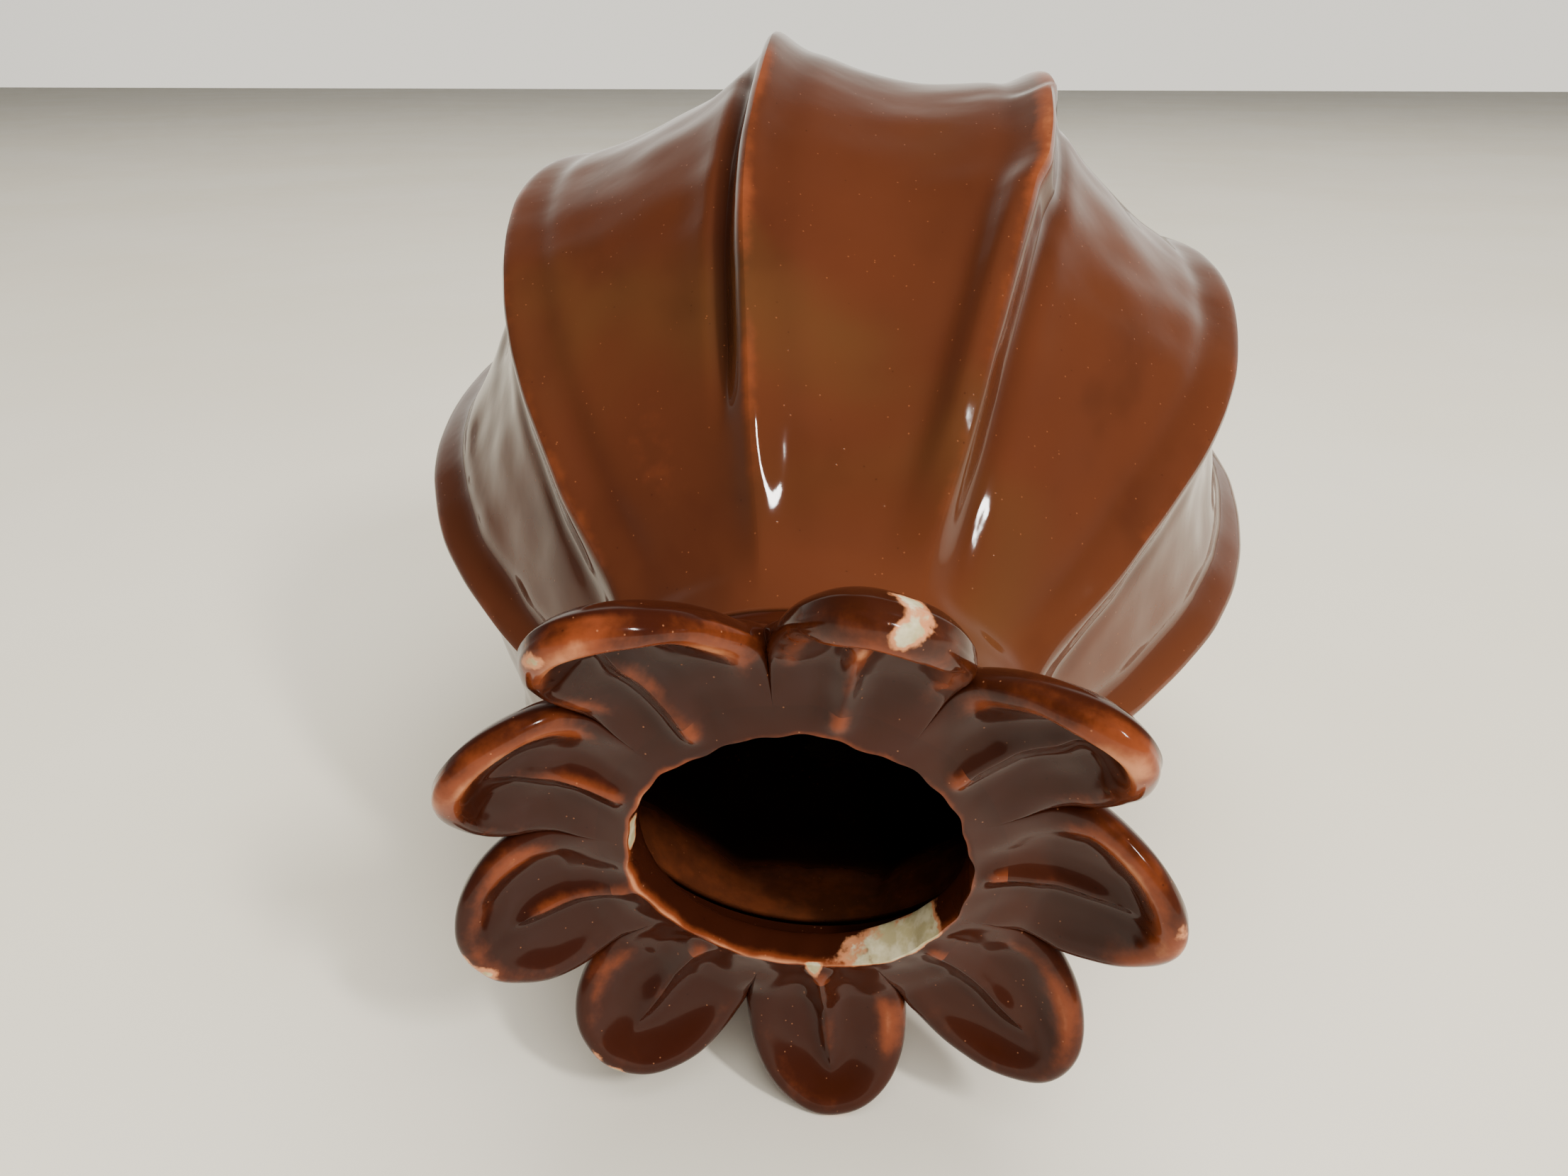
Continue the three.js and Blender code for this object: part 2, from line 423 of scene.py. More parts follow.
# How far the glaze has thinned on each petal's counter-clockwise side, tip, clockwise side and midrib.
# On the sides that face up towards the lamp these values are partly painted light.
PETAL_WEAR_AND_LIGHT = [
    (0.60, 0.60, 0.50, 0.60),
    (0.45, 0.85, 0.25, 0.30),
    (0.60, 0.75, 0.12, 0.40),
    (0.62, 0.30, 0.12, 0.12),
    (0.55, 0.15, 0.12, 0.40),
    (0.12, 0.10, 0.40, 0.40),
    (0.12, 0.45, 0.60, 0.65),
    (0.15, 0.70, 0.75, 0.85),
    (0.40, 0.95, 0.90, 0.85),
]
SIDE_INNER = 24  # columns of half a petal on its face
SIDE_RIM = 10  # and on its rolled rim
AROUND = 58  # rows of half a petal, from its root to its tip
RIM_BAND = 4.6  # width of the rolled rim
RIM_CURL = 2.6  # the largest curl of a rim
FRONT_Z = 205.0  # height of the crown's front at the petals' roots
BACK_Z = 197.6  # and of its back
RISE_R = 40  # where the petals start to rise towards their tips
RISE = 12  # how far they rise
TILT_R = 14  # the distance from a petal's middle line at which its tilt is measured
PART_R = 31  # where neighbouring petals start to part
HOLLOW_AT = 10.5  # distance from the tip of the hollow below a rim that curls back
BEND_Z = 200.0  # one height for the crown's unevenness, so that fronts and backs bend together


def sides(i):
    """A petal's tip angle and radius, then the half angle and notch radius of each of its two sides."""
    tip, tip_r, after, after_r = PETALS[i]
    _, _, before, before_r = PETALS[i - 1]
    if i == 0:
        before -= 360
    return tip, tip_r, (tip - before, before_r), (after - tip, after_r)


def cross_steps(length):
    """Distances from the edge, from the middle line to the edge, closer together on the rolled rim."""
    inner = np.linspace(0, 1, SIDE_INNER, endpoint=False)
    rim = 1 - np.sin(np.linspace(0, math.pi / 2, SIDE_RIM + 1))
    wide = length[:, None]
    face = wide + (RIM_BAND - wide) * inner[None]
    return np.concatenate([face, RIM_BAND * rim[None] * np.ones_like(wide)], 1)


def parting(r, notch_r):
    """How far neighbouring petals have parted: 0 on the collar, and 1 from the notch outwards."""
    return np.clip((r - PART_R) / (notch_r - PART_R), 0, 1) ** 1.5


def rounding(d):
    """How far the surface has sunk at a distance from the edge, as a share of half the thickness."""
    near = np.clip(1 - d / RIM_BAND, 0, 1)
    return 1 - np.sqrt(np.clip(1 - near**2, 0, 1))


def crown_front(i, v, x, r, d):
    """Height of the crown's front before its edges are rounded, and the shares of midrib and lip.

    v is the share of the way from the petal's middle line to its edge, x the distance from that line
    and d the distance from the edge."""
    lift, roll, curl, rib, tilt, _ = PETAL_DETAIL[i]
    tip_r = PETALS[i][1]
    out = np.clip((r - RISE_R) / (tip_r - RISE_R), 0, 1)
    z = FRONT_Z + 1.2 * np.exp(-np.maximum(r - MOUTH_R, 0) / 3.5) + (RISE + lift) * out**1.5
    lip = 0.35 * ramp(r, 31, 37) + (roll - 0.35) * ramp(r, 38, tip_r - 6)
    lip = lip * bump(np.maximum(d - 3.0, 0), 0, 3.4)
    far = (r - MOUTH_R) / (tip_r - MOUTH_R)
    dish = 1.15 * np.sin(np.pi * np.clip(np.abs(v), 0, 1)) * ramp(r, 29.5, 37) * (1 - ramp(far, 0.72, 0.95))
    run = ramp(r, 28.2, 31.5) * (1 - ramp(far, 0.55, 0.8))  # the part that the midrib runs along
    ridge = 0.85 * rib * bump(x, 0, 1.7) * run
    flank = 0.22 * (bump(x, 4.2, 1.7) + bump(x, -4.2, 1.7)) * run
    heel = 2.2 * bump(r, tip_r - HOLLOW_AT, 2.6) * bump(x, 0, 6.5) * (curl / RIM_CURL) ** 1.5
    z = z + lip - dish + ridge - flank - heel + tilt * x / TILT_R * out
    return z, ridge / max(rib, 0.1), lip / max(roll, 0.1)


def crown_back(i, r, x):
    lift, roll, _, _, tilt, _ = PETAL_DETAIL[i]
    out = np.clip((r - RISE_R) / (PETALS[i][1] - RISE_R), 0, 1)
    return BACK_Z + (RISE + lift) * out**1.5 + 0.3 * roll * out + tilt * x / TILT_R * out


def uneven(angle, r, z):
    """Unevenness of the crown."""
    return 0.32 * ripple(angle, r, z, 26, 21) + 0.10 * ripple(angle, r, z, 8, 22)


def petal_edge(i, half, notch_r):
    """Radius and half angle along a petal's edge: beside its neighbour up to the notch, then free."""
    tip_r, blunt = PETALS[i][1], PETAL_DETAIL[i][5]
    joined, free = 100, 400  # steps along each part
    past = 1 - (1 - np.linspace(0, 1, free)) ** 2
    free_r = notch_r + (tip_r - notch_r) * past
    free_half = half * (notch_r / free_r) * np.clip(1 - past**blunt, 0, 1) ** 0.5
    edge_r = np.concatenate([np.linspace(ROOT_R, notch_r, joined, endpoint=False), free_r])
    edge_half = np.concatenate([np.full(joined, float(half)), free_half])
    a = np.radians(edge_half)
    flat = np.stack([edge_r * np.sin(a), edge_r * np.cos(a)], 1)
    arc = np.concatenate([[0], np.cumsum(np.linalg.norm(np.diff(flat, axis=0), axis=1))])
    at = np.linspace(0, arc[-1], AROUND)
    return np.interp(at, arc, edge_r), np.interp(at, arc, edge_half), at / arc[-1]


def petal_side(i, side):
    """One half of a petal as grids: front angle, radius and height, back radius and height, and the
    places that the glaze layers need."""
    tip, tip_r, *both = sides(i)
    half, notch_r = both[0] if side < 0 else both[1]
    edge_r, edge_half, share = petal_edge(i, half, notch_r)
    spine = ROOT_R + (tip_r - 9.5 - ROOT_R) * (1 - (1 - share) ** 1.7)  # it stops short of the tip
    spine[0] = ROOT_R
    length = np.hypot(edge_half * math.pi / 180 * (edge_r + spine) / 2, edge_r - spine)
    d = cross_steps(length)
    v = 1 - d / length[:, None]
    angle_off = v * edge_half[:, None]
    r = spine[:, None] + (edge_r - spine)[:, None] * v
    x = side * r * np.radians(angle_off)
    angle = tip + side * angle_off
    past_notch = edge_r >= notch_r - 1e-6  # with room for rounding
    apart = np.where(past_notch, 1.0, parting(edge_r, notch_r))[:, None]
    front, ridge, lip = crown_front(i, v, x, r, d)
    back_r = r + (BACK_ROOT_R - ROOT_R) * np.clip(1 - (r - ROOT_R) / 12.5, 0, 1)
    back = crown_back(i, back_r, x)
    bend = uneven(angle, r, BEND_Z)
    front, back = front + bend, back + bend
    sink = (front - back) / 2 * apart * rounding(d)
    curl = PETAL_DETAIL[i][2]
    front_r = r - curl * lip * bump(d, 2.6, 2.6) * ramp(r, tip_r - 12, tip_r - 4)
    return angle, front_r, front - sink, back_r, back + sink, apart[:, 0], d, x, ridge, lip


# Places where the glaze ran thin or the clay shows: petal, distance from its middle line, radius, and
# size across and outwards, all in mm, then the layer and its strength.
MARKS = [
    (0, 4.0, 59.0, 3.2, 2.2, "bare", 0.78),
    (0, 0.5, 47.0, 1.2, 3.0, "thin", 0.55),
    (1, 1.5, 59.0, 5.0, 3.0, "thin", 0.35),
    (2, -3.5, 57.0, 3.0, 2.5, "bare", 0.30),
    (2, 0.5, 59.0, 3.5, 2.0, "thin", 0.50),
    (4, 0.0, 60.6, 4.6, 0.9, "bare", 0.75),
    (5, -1.0, 58.6, 1.8, 1.0, "bare", 0.65),
    (5, 4.0, 57.5, 1.6, 1.0, "bare", 0.45),
    (6, -4.0, 56.0, 2.0, 1.6, "bare", 0.55),
    (6, -0.5, 57.8, 2.4, 1.2, "bare", 0.50),
    (7, -2.0, 57.0, 4.0, 2.0, "thin", 0.50),
    (8, -4.0, 60.0, 2.2, 1.8, "bare", 0.58),
    (8, 3.0, 59.5, 4.5, 1.6, "thin", 0.40),
]


def marks(i, x, r, layer):
    value = 0
    for petal, across, radius, wide, long, kind, strength in MARKS:
        if petal == i and kind == layer:
            value = value + strength * np.exp(-(((x - across) / wide) ** 2 + ((r - radius) / long) ** 2))
    return value


def petal(i):
    skin = Skin()
    halves = []
    tip_r, curl = PETALS[i][1], PETAL_DETAIL[i][2]
    before, tip_wear, after, rib_share = PETAL_WEAR_AND_LIGHT[i]
    for side in (-1, 1):
        angle, r, front, back_r, back, apart, d, x, ridge, lip = petal_side(i, side)
        at_tip = ramp(r, tip_r - 11, tip_r - 2)
        # On the sides that face up towards the lamp this lighter rim is partly painted light.
        share = (before if side < 0 else after) * (1 - at_tip) + tip_wear * at_tip
        worn = 0.8 + 0.28 * ripple(angle, r, front, 20, 30 + i)
        glow = 0.62 * bump(d, 2.8, 3.4) + 0.45 * bump(d, 3.4, 1.2)
        thin = share * worn * glow * ramp(r, 35, 46) + 0.62 * rib_share * ridge * np.clip(worn, 0, 1)
        thin = np.clip(thin, 0, 1) + marks(i, x, r, "thin")
        bare = marks(i, x, r, "bare")
        hollow = bump(r, tip_r - HOLLOW_AT, 2.4) * bump(x, 0, 8) * (curl / RIM_CURL) ** 2
        pool = np.clip(0.25 * (1 - lip) * ramp(r, 34, 44) + 0.8 * hollow, 0, 1)
        a = skin.add(place(angle, r, front), thin=thin * (1 - hollow), bare=bare, pool=pool)
        b = skin.add(place(angle, back_r, back), thin=0.1 * lip, bare=bare * (d < 3), pool=0.2)
        b[:, -1] = np.where(apart >= 1, a[:, -1], b[:, -1])
        halves.append((a, b))
    (a0, b0), (a1, b1) = halves
    a1[:, 0], b1[:, 0] = a0[:, 0], b0[:, 0]
    a1[-1], b1[-1] = a0[-1], b0[-1]
    for a, b, turn in ((a0, b0, False), (a1, b1, True)):
        skin.quads(a if turn else a[::-1])
        skin.quads(b[::-1] if turn else b)
        wall = np.stack([a[:, -1], b[:, -1]], 1)
        skin.quads(wall if turn else wall[::-1], hidden=True)
        root = np.stack([a[0], b[0]], 0)
        skin.quads(root[::-1] if turn else root, hidden=True)
    return skin


def mouth_wiggle(angle):
    """How far the cut edge of the mouth departs from a circle."""
    a = np.radians(angle)
    broad = 0.45 * np.sin(3 * a + 0.6) + 0.3 * np.sin(7 * a + 2)
    return broad + 0.22 * np.sin(13 * a) + 0.14 * np.sin(29 * a + 1)


FRONT_ROWS = 17  # the collar's front, from the lip to the petals' roots
FLARE_ROWS = 11  # its outside, from the petals' backs down to the neck
CUT_ROWS = 10  # the cut edge of the mouth, from the ledge inside up to the lip
# Radius and height of the ledge inside the collar, between the neck and the cut edge.
LEDGE = [(NECK_R - WALL, NECK_Z), (34.8, 194.0), (34.3, 196.5), (33.0, 198.2), (30.5, 199.2)]


def collar_columns():
    """The collar's columns in order: petal, side, half angle, notch radius and share of the half."""
    columns = []
    for i in range(len(PETALS)):
        for side, (half, notch_r) in zip((-1, 1), sides(i)[2:]):
            length = np.array([math.radians(half) * ROOT_R])
            shares = 1 - cross_steps(length)[0] / length[0]
            if side < 0:
                shares = shares[::-1]
            columns += [(i, side, half, notch_r, share) for share in shares[:-1]]
    return columns


def collar_column(i, side, half, notch_r, share):
    """Angle, radii, heights and glaze layers of a column, from the lip outwards and back up inside."""
    phi = PETALS[i][0] + side * share * half
    lip_r = MOUTH_R + mouth_wiggle(phi)
    inner_r = MOUTH_R + 0.25 * mouth_wiggle(phi + 40) - 0.9
    r = lip_r + (ROOT_R - lip_r) * np.linspace(0, 1, FRONT_ROWS) ** 1.5
    edge_d = (1 - share) * math.radians(half)
    d = edge_d * r
    x = side * r * math.radians(share * half)
    front, ridge, _ = crown_front(i, np.full_like(r, share), x, r, d)
    front = front + uneven(np.full_like(r, phi), r, BEND_Z)
    back_root = crown_back(i, np.array([BACK_ROOT_R]), x[-1])
    back_root = back_root + uneven(np.array([phi]), np.array([ROOT_R]), BEND_Z)
    thick = (front - back_root) / 2
    front = front - thick * parting(r, notch_r) * rounding(d)
    back_root = back_root + thick[-1] * parting(ROOT_R, notch_r) * rounding(edge_d * ROOT_R)

    flare = np.linspace(0, 1, FLARE_ROWS + 1)[1:]
    neck_r = BACK_ROOT_R + (NECK_R - BACK_ROOT_R) * np.sin(flare * math.pi / 2)
    neck_z = back_root[0] + (NECK_Z - back_root[0]) * flare**1.15
    ledge_r, ledge_z = np.array(LEDGE + [(inner_r + 0.3, CUT_Z - 0.2)]).T
    cut = np.linspace(0, 1, CUT_ROWS + 1)[:-1]
    cut_r = inner_r + (lip_r - inner_r) * cut**1.8 + 0.15 * np.exp(-cut / 0.06)
    cut_z = CUT_Z + (front[0] - 0.15 - CUT_Z) * cut
    radii = np.concatenate([r, [BACK_ROOT_R], neck_r, ledge_r, cut_r])
    heights = np.concatenate([front, back_root, neck_z, ledge_z, cut_z])

    # The glaze has worn along the lip, most of all on its lower side. Clay shows in a patch of the cut
    # edge, in a chip at its end and in a sliver across from them.
    turn = phi % 360
    low_side = 0.35 + 0.65 * ramp(np.cos(math.radians(phi - 215)), -0.5, 0.5)
    worn = 0.75 + 0.25 * math.sin(math.radians(phi * 11)) * math.sin(math.radians(phi * 5 + 60))
    patch = ramp(turn, 117, 130) * (1 - 0.75 * ramp(turn, 150, 166) - 0.25 * ramp(turn, 166, 180))
    chip = max(0.0, 1 - abs(turn - 176) / 4.0)
    sliver = ramp(turn, 268, 272) * (1 - ramp(turn, 282, 287))
    back_rows = np.zeros(1 + FLARE_ROWS)
    ledge_rows = np.ones(len(ledge_r))
    thin = [bump(r, lip_r, 0.75) * low_side * worn + 0.5 * ridge, back_rows, 0 * ledge_rows]
    thin.append(low_side * worn * cut**6)
    bare = [patch * bump(r, lip_r, 0.9) + chip * bump(r, lip_r, 2.6) * 1.1, back_rows, 0 * ledge_rows]
    bare.append(patch * (0.62 + 0.40 * cut) + sliver * 0.8 * ramp(cut, 0.3, 0.7))
    pool = [0.15 * ramp(r, 29, 33), back_rows, 0.4 * ledge_rows, np.full(CUT_ROWS, 0.3)]
    return phi, radii, heights, *(np.concatenate(layer) for layer in (thin, bare, pool))


def collar():
    columns = [collar_column(*column) for column in collar_columns()]
    angle, r, z, thin, bare, pool = (np.array(values) for values in zip(*columns))
    skin = Skin()
    ids = skin.add(place(angle[:, None] + 0 * r, r, z), thin=thin, bare=bare, pool=pool)
    loop = np.concatenate([ids, ids[:1]], 0)
    loop = np.concatenate([loop, loop[:, :1]], 1)
    neck_end = FRONT_ROWS + 1 + FLARE_ROWS
    skin.quads(loop[:, :FRONT_ROWS])
    skin.quads(loop[:, FRONT_ROWS - 1 : FRONT_ROWS + 1], hidden=True)
    skin.quads(loop[:, FRONT_ROWS:neck_end])
    skin.quads(loop[:, neck_end - 1 : neck_end + 1], hidden=True)
    skin.quads(loop[:, neck_end:])
    return skin


# Radius and height of the foot slab's outline, from the middle of its underside to that of its top.
FOOT_OUTLINE = [
    (0.01, 0.0),
    (20, 0.0),
    (40, 0.0),
    (46.5, 0.0),
    (48.2, 0.35),
    (49.2, 1.2),
    (49.7, 2.6),
    (49.8, 6.0),
    (30, 6.0),
    (0.01, 6.0),
]


def foot():
    steps = 180
    r, z = np.array(FOOT_OUTLINE).T[:, None, :] + np.zeros((1, steps, 1))
    angle = np.linspace(0, 360, steps + 1)[:-1, None] + 0 * r
    r = r + 0.25 * ripple(angle, r, z, 40, 3) * (r > 48)
    skin = Skin()
    ids = skin.add(place(angle, r, z))
    ids[:, 0] = ids[0, 0]
    ids[:, -1] = ids[0, -1]
    skin.quads(np.concatenate([ids, ids[:1]], 0))
    return skin


# ---------------------------------------------------------------- glaze and clay


def nodes_of(name):
    """A new material with its node tree and its main shader."""
    material = bpy.data.materials.new(name)
    material.use_nodes = True
    tree = material.node_tree
    tree.nodes.clear()
    out = tree.nodes.new("ShaderNodeOutputMaterial")
    shader = tree.nodes.new("ShaderNodeBsdfPrincipled")
    tree.links.new(shader.outputs["BSDF"], out.inputs["Surface"])
    return material, tree, shader


class Graph:
    """Short names for the shader nodes of one node tree."""

    # The colour sockets of a mix node share their names with others, so they go by number.
    MIX_A, MIX_B, MIX_RESULT = 6, 7, 2

    def __init__(self, tree):
        self.tree = tree
        self.where = tree.nodes.new("ShaderNodeTexCoord").outputs["Object"]

    def put(self, socket, value):
        if isinstance(value, bpy.types.NodeSocket):
            self.tree.links.new(value, socket)
        else:
            socket.default_value = value

    def noise(self, scale, detail=3.0, rough=0.5, stretch=(1, 1, 1), warp=0.0):
        turn = self.tree.nodes.new("ShaderNodeMapping")
        self.put(turn.inputs["Vector"], self.where)
        turn.inputs["Rotation"].default_value = (LEAN, 0, 0)
        turn.inputs["Scale"].default_value = stretch
        node = self.tree.nodes.new("ShaderNodeTexNoise")
        self.put(node.inputs["Vector"], turn.outputs["Vector"])
        node.inputs["Scale"].default_value = scale
        node.inputs["Detail"].default_value = detail
        node.inputs["Roughness"].default_value = rough
        node.inputs["Distortion"].default_value = warp
        return node.outputs["Fac"]

    def span(self, value, low, high, to_low=0.0, to_high=1.0):
        node = self.tree.nodes.new("ShaderNodeMapRange")
        node.interpolation_type = "SMOOTHSTEP"
        self.put(node.inputs["Value"], value)
        node.inputs["From Min"].default_value = low
        node.inputs["From Max"].default_value = high
        node.inputs["To Min"].default_value = to_low
        node.inputs["To Max"].default_value = to_high
        return node.outputs["Result"]

    def math(self, kind, a, b=0.0, clamp=False):
        node = self.tree.nodes.new("ShaderNodeMath")
        node.operation = kind
        node.use_clamp = clamp
        self.put(node.inputs[0], a)
        self.put(node.inputs[1], b)
        return node.outputs["Value"]

    def mix(self, factor, a, b):
        node = self.tree.nodes.new("ShaderNodeMix")
        node.data_type = "RGBA"
        self.put(node.inputs["Factor"], factor)
        self.put(node.inputs[self.MIX_A], a)
        self.put(node.inputs[self.MIX_B], b)
        return node.outputs[self.MIX_RESULT]

    def layer(self, name):
        node = self.tree.nodes.new("ShaderNodeAttribute")
        node.attribute_name = name
        return node.outputs["Fac"]

    def dots(self, scale, size, keep):
        """Small round dots. A higher keep leaves fewer of them."""
        node = self.tree.nodes.new("ShaderNodeTexVoronoi")
        self.put(node.inputs["Vector"], self.where)
        node.inputs["Scale"].default_value = scale
        near = self.span(node.outputs["Distance"], size, size * 0.4)
        chosen = self.tree.nodes.new("ShaderNodeSeparateColor")
        self.put(chosen.inputs["Color"], node.outputs["Color"])
        return self.math("MULTIPLY", near, self.math("GREATER_THAN", chosen.outputs["Red"], keep))

    def bump(self, shader, height, distance, strength):
        node = self.tree.nodes.new("ShaderNodeBump")
        node.inputs["Distance"].default_value = distance
        node.inputs["Strength"].default_value = strength
        self.put(node.inputs["Height"], height)
        self.put(shader.inputs["Normal"], node.outputs["Normal"])


def srgb(*colour):
    """A colour in 0 to 255, as the linear values that a shader takes."""
    return tuple(((c / 255 + 0.055) / 1.055) ** 2.4 if c > 10 else c / 255 / 12.92 for c in colour) + (1.0,)


CLAY_LIGHT, CLAY_DARK, CLAY_STAIN = srgb(214, 205, 170), srgb(176, 164, 122), srgb(112, 62, 34)


def glaze(name, main, warm, deep, olive, amber, tan, ior, rough):
    material, tree, shader = nodes_of(name)
    g = Graph(tree)
    fine = g.noise(420, 3, 0.6)

    # Broad clouds and long drips of slightly different browns, darker where the glaze has pooled and where
    # shade is painted deep inside the pod.
    drip = g.noise(48, 3, 0.5, stretch=(1.0, 0.14, 1.0))
    colour = g.mix(g.span(g.noise(8, 2, 0.5), 0.35, 0.68), main, warm)
    colour = g.mix(g.span(g.noise(15, 2, 0.5, warp=0.6), 0.54, 0.74, 0, 0.55), colour, olive)
    colour = g.mix(g.span(drip, 0.45, 0.72, 0, 0.30), colour, warm)
    colour = g.mix(g.span(drip, 0.48, 0.28, 0, 0.28), colour, deep)
    colour = g.mix(g.math("MULTIPLY", g.layer("pool"), 0.85, True), colour, deep)

    # Amber and then tan where it is thin, and where light is painted near the mouth inside the pod and on
    # the petal sides that face the lamp, with a grainy border.
    grain = g.span(g.noise(150, 4, 0.6), 0.3, 0.7, -0.5, 0.5)
    grain = g.math("ADD", grain, g.span(fine, 0.3, 0.7, -0.2, 0.2))
    thin = g.math("ADD", g.layer("thin"), g.math("MULTIPLY", grain, 0.16))
    colour = g.mix(g.span(thin, 0.10, 0.55, 0, 0.80), colour, amber)
    colour = g.mix(g.span(thin, 0.50, 0.95, 0, 0.80), colour, tan)

    # Mottled clay where it is missing, inside a tan border.
    bare = g.math("ADD", g.layer("bare"), g.math("MULTIPLY", grain, 0.34))
    missing = 0.46, 0.60
    clay_colour = g.mix(g.span(g.noise(260, 3, 0.6), 0.38, 0.66), CLAY_DARK, CLAY_LIGHT)
    clay_colour = g.mix(g.span(g.noise(120, 4, 0.7), 0.60, 0.68, 0, 0.75), clay_colour, CLAY_STAIN)
    colour = g.mix(g.span(bare, 0.26, 0.44, 0, 0.85), colour, tan)
    colour = g.mix(g.span(bare, *missing), colour, clay_colour)

    # Pale and dark pinholes.
    specks = g.dots(900, 0.17, 0.88)
    colour = g.mix(g.math("MULTIPLY", specks, 0.28), colour, tan)
    colour = g.mix(g.math("MULTIPLY", g.dots(520, 0.12, 0.90), 0.5), colour, deep)
    g.put(shader.inputs["Base Color"], colour)

    # Shiny, with a faint orange peel. The bare clay is duller.
    sheen = g.span(g.noise(80, 3, 0.5), 0.3, 0.7, rough - 0.025, rough + 0.025)
    dry = g.span(bare, *missing, 0, 0.40)
    g.put(shader.inputs["Roughness"], g.math("ADD", sheen, dry))
    shader.inputs["IOR"].default_value = ior
    height = g.math("ADD", g.math("MULTIPLY", g.noise(110, 2, 0.5), 0.8), g.math("MULTIPLY", specks, -0.20))
    height = g.math("ADD", height, g.math("MULTIPLY", fine, 0.05))
    g.bump(shader, height, 0.0004, 0.30)
    return material


def clay(name):
    material, tree, shader = nodes_of(name)
    g = Graph(tree)
    grain = g.noise(700, 4, 0.65)
    colour = g.mix(g.span(g.noise(40, 4, 0.6), 0.3, 0.7), srgb(205, 190, 158), srgb(222, 210, 180))
    colour = g.mix(g.span(grain, 0.55, 0.75, 0, 0.5), colour, srgb(168, 146, 112))
    g.put(shader.inputs["Base Color"], colour)
    g.put(shader.inputs["Roughness"], g.span(grain, 0.3, 0.7, 0.75, 0.92))
    g.bump(shader, grain, 0.0003, 0.6)
    return material


body_glaze = glaze(
    "brown_glaze",
    main=srgb(80, 41, 24),
    warm=srgb(91, 48, 27),
    deep=srgb(44, 19, 11),
    olive=srgb(86, 57, 31),
    amber=srgb(126, 64, 36),
    tan=srgb(190, 114, 70),
    ior=1.36,
    rough=0.07,
)
crown_glaze = glaze(
    "dark_glaze",
    main=srgb(50, 20, 11),
    warm=srgb(60, 25, 12),
    deep=srgb(30, 12, 7),
    olive=srgb(52, 27, 15),
    amber=srgb(136, 66, 35),
    tan=srgb(214, 142, 98),
    ior=1.29,
    rough=0.12,
)
raw_clay = clay("bare_clay")

# ---------------------------------------------------------------- assembly

skins = []


def make(name, skin, material, node):
    piece = skin.build(name, material)
    face_out(piece)
    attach(piece, "root")
    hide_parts(node)
    skins.append((piece, skin.inner))


for i in range(len(RIBS)):
    make(f"glazed_panel_{i + 1:02d}", panel(i), body_glaze, f"pod_panel_{i + 1:02d}")
make("glazed_collar", collar(), crown_glaze, "mouth_collar")
for i in range(len(PETALS)):
    make(f"glazed_petal_{i + 1:02d}", petal(i), crown_glaze, f"petal_{i + 1:02d}")
make("clay_foot", foot(), raw_clay, "foot_slab")
share_normals(skins)

# ---------------------------------------------------------------- floor, light and camera


def floor():
    """A plain pale floor."""
    mesh = bpy.data.meshes.new("floor")
    s = 6.0  # half its side, in metres
    mesh.from_pydata([(-s, -s, 0), (s, -s, 0), (s, s, 0), (-s, s, 0)], [], [(0, 1, 2, 3)])
    plane = bpy.data.objects.new("floor", mesh)
    bpy.context.collection.objects.link(plane)
    material, tree, shader = nodes_of("floor")
    g = Graph(tree)
    colour = g.mix(g.span(g.noise(3, 3, 0.5), 0.35, 0.65), srgb(244, 237, 217), srgb(248, 242, 225))
    g.put(shader.inputs["Base Color"], colour)
    g.put(shader.inputs["Roughness"], g.span(g.noise(30, 3, 0.5), 0.3, 0.7, 0.42, 0.55))
    mesh.materials.append(material)


floor()


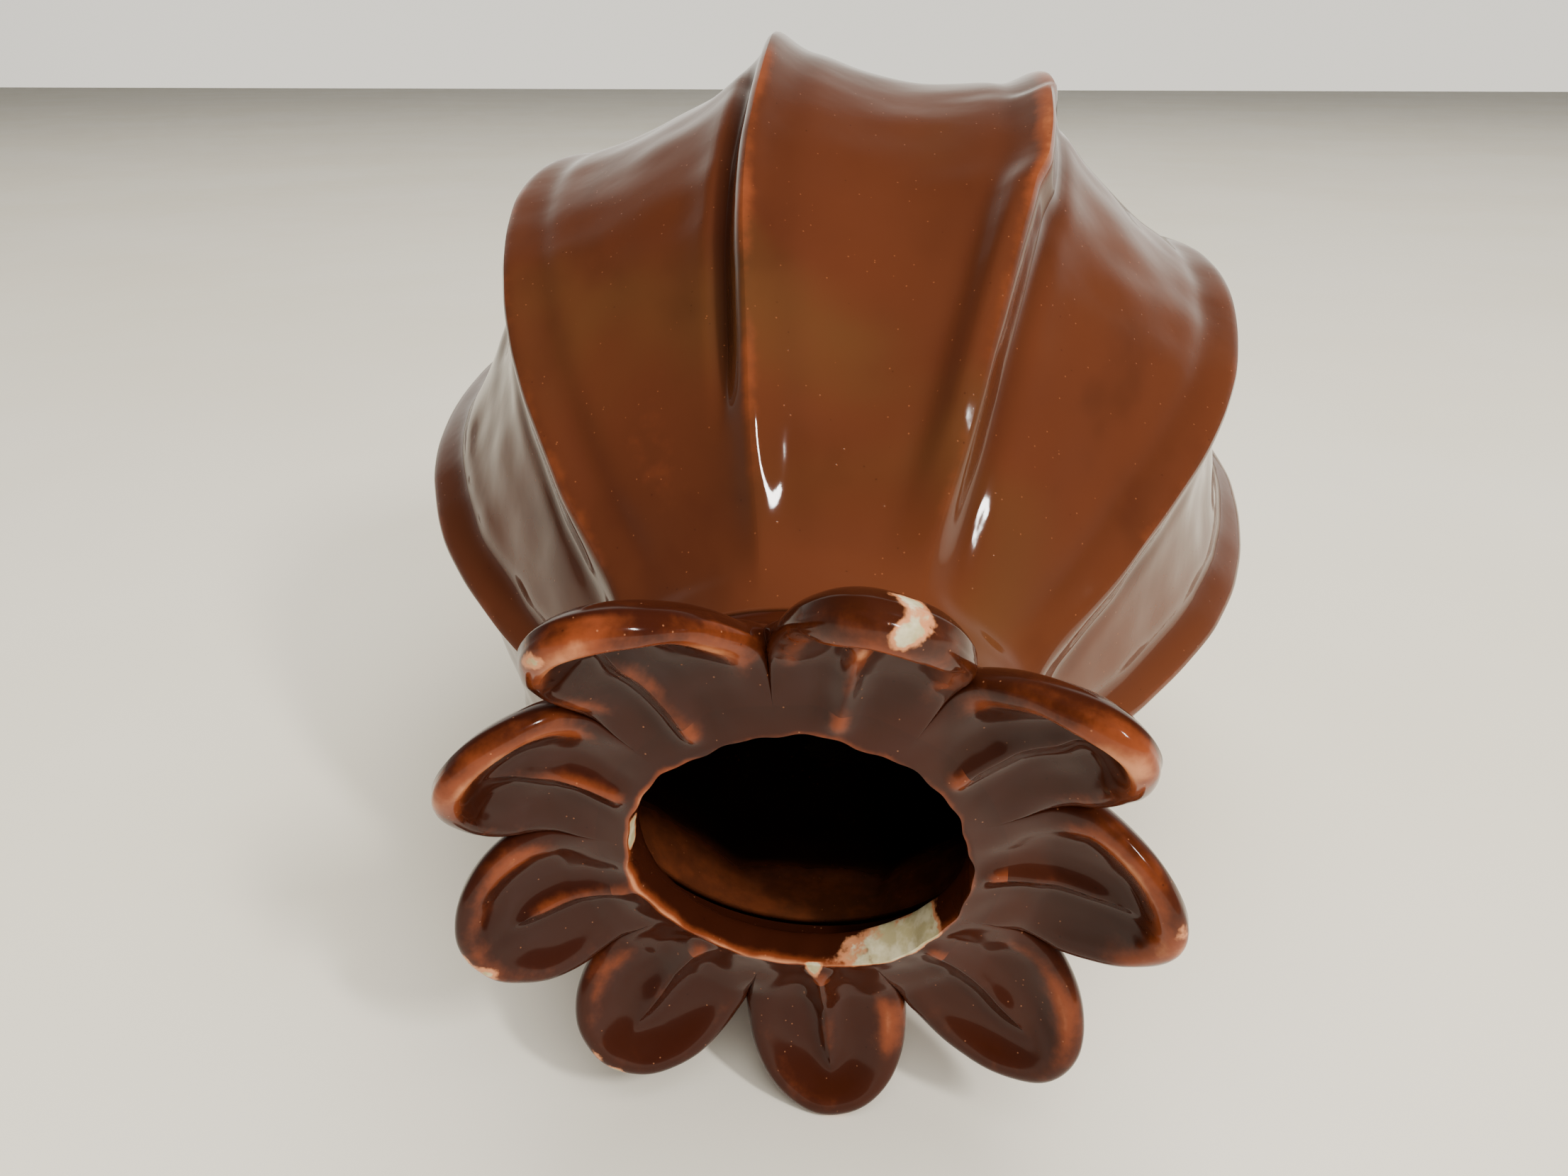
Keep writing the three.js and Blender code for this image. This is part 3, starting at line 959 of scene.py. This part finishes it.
def sky():
    """A pale studio: bright behind the vase, darker overhead and on the viewer's side."""
    world = bpy.data.worlds.new("studio")
    bpy.context.scene.world = world
    world.use_nodes = True
    tree = world.node_tree
    tree.nodes.clear()
    g = Graph(tree)
    split = tree.nodes.new("ShaderNodeSeparateXYZ")
    tree.links.new(tree.nodes.new("ShaderNodeTexCoord").outputs["Generated"], split.inputs["Vector"])
    behind = g.span(split.outputs["Y"], 0.4, 0.9, 0.10, 0.80)
    overhead = g.span(split.outputs["Z"], 0.15, 0.8, 1.0, 0.25)
    glow = tree.nodes.new("ShaderNodeBackground")
    glow.inputs["Color"].default_value = (1.30, 1.24, 1.10, 1)
    low = g.span(split.outputs["Z"], -0.05, 0.50, 0.20, 0.0)
    g.put(glow.inputs["Strength"], g.math("ADD", g.math("MULTIPLY", behind, overhead), low))
    out = tree.nodes.new("ShaderNodeOutputWorld")
    tree.links.new(glow.outputs["Background"], out.inputs["Surface"])


sky()

LAMP_COLOUR = (1.0, 0.97, 0.93)


def lamp(name, location, aim, size, power):
    """A rectangular lamp, turned towards the point that it lights."""
    data = bpy.data.lights.new(name, "AREA")
    data.shape = "RECTANGLE"
    data.size, data.size_y = size
    data.energy = power
    data.color = LAMP_COLOUR
    ob = bpy.data.objects.new(name, data)
    bpy.context.collection.objects.link(ob)
    ob.location = location
    way = np.array(aim) - np.array(location)
    ob.rotation_euler = (
        math.atan2(math.hypot(way[0], way[1]), -way[2]),
        0,
        math.atan2(way[1], way[0]) - math.pi / 2,
    )
    return ob


lamp("key", (0.83, -0.81, 1.01), (0, 0, 0.08), (0.10, 0.26), 15)
for name, location, size, power in (
    ("overhead_box", (0.5, 0.2, 3.2), 3.4, 145),
    ("front_box", (0.45, -1.10, 1.15), 1.2, 18),
):
    soft = lamp(name, location, (0, 0, 0.05), (size, size), power)
    soft.visible_glossy = False  # it only fills the shadows, and leaves no reflection

# The camera stands where the photograph's camera did.
camera_data = bpy.data.cameras.new("camera")
camera_data.sensor_width = 36
camera_data.lens = 27.0
camera_data.clip_start = 0.01
camera = bpy.data.objects.new("camera", camera_data)
bpy.context.collection.objects.link(camera)
camera.location = (0.0113, -0.2445, 0.1785)
camera.rotation_euler = (math.radians(90 - 24.6), 0, math.radians(5.3))
bpy.context.scene.camera = camera
